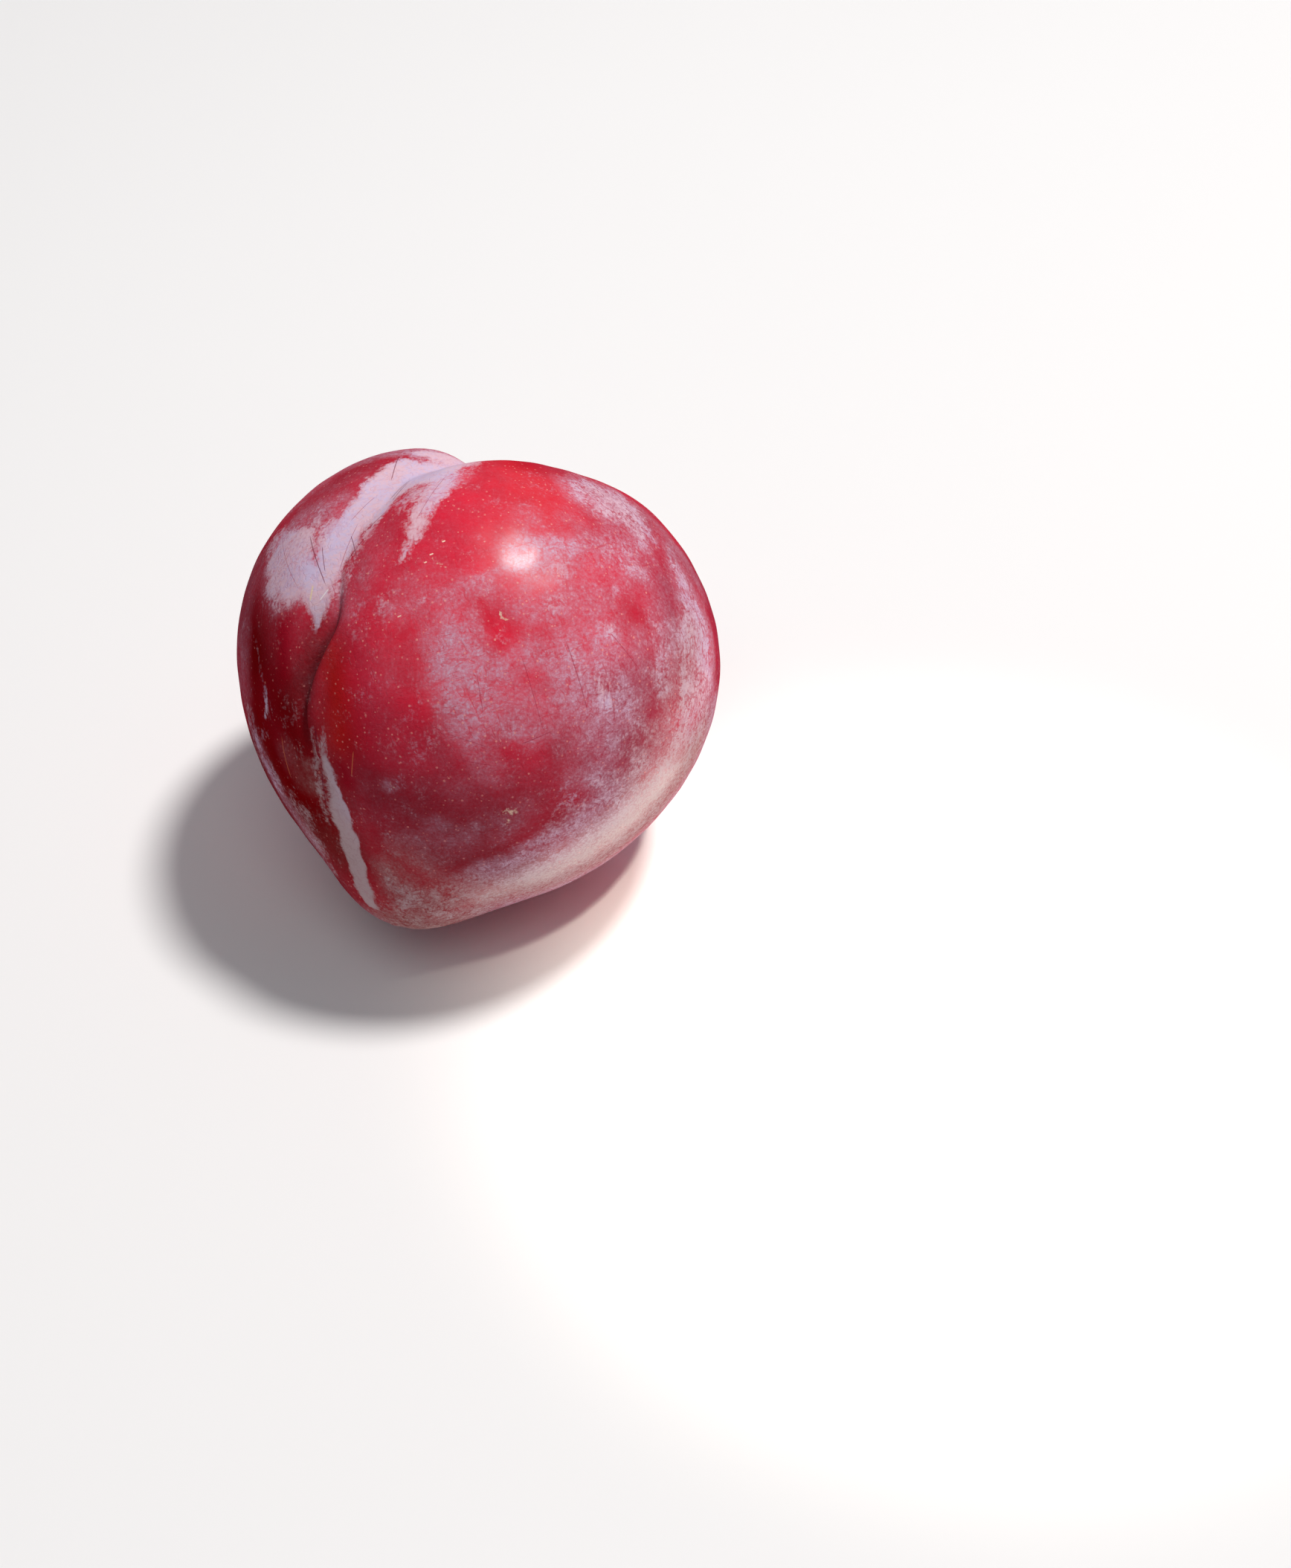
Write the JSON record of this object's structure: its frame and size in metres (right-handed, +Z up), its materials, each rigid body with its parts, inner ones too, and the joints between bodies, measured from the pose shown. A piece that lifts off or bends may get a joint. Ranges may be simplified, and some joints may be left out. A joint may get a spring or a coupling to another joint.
{
  "type": "plum",
  "caption": "Whole ripe red dessert plum, heart-shaped with a blunt tip, a suture groove and a stem cavity, picked with no stem and lying on its side on a small flat spot.",
  "frame": {"origin": "on the surface that the fruit rests on, at the point of its flat spot straight below the middle of the fruit", "axes": "+Z up, out of the surface; the blunt tip points to -Y and down, the stem cavity to +Y and up; +X towards the right cheek, seen with the tip nearest"},
  "size_m": [0.0619, 0.0611, 0.0597],
  "materials": {
    "skin": "waxy deep red fruit skin, half-gloss where rubbed, with patches of matt lavender-grey bloom and fine pale dots"
  },
  "bodies": {
    "root": {"plum": "skin"}
  },
  "joints": []
}
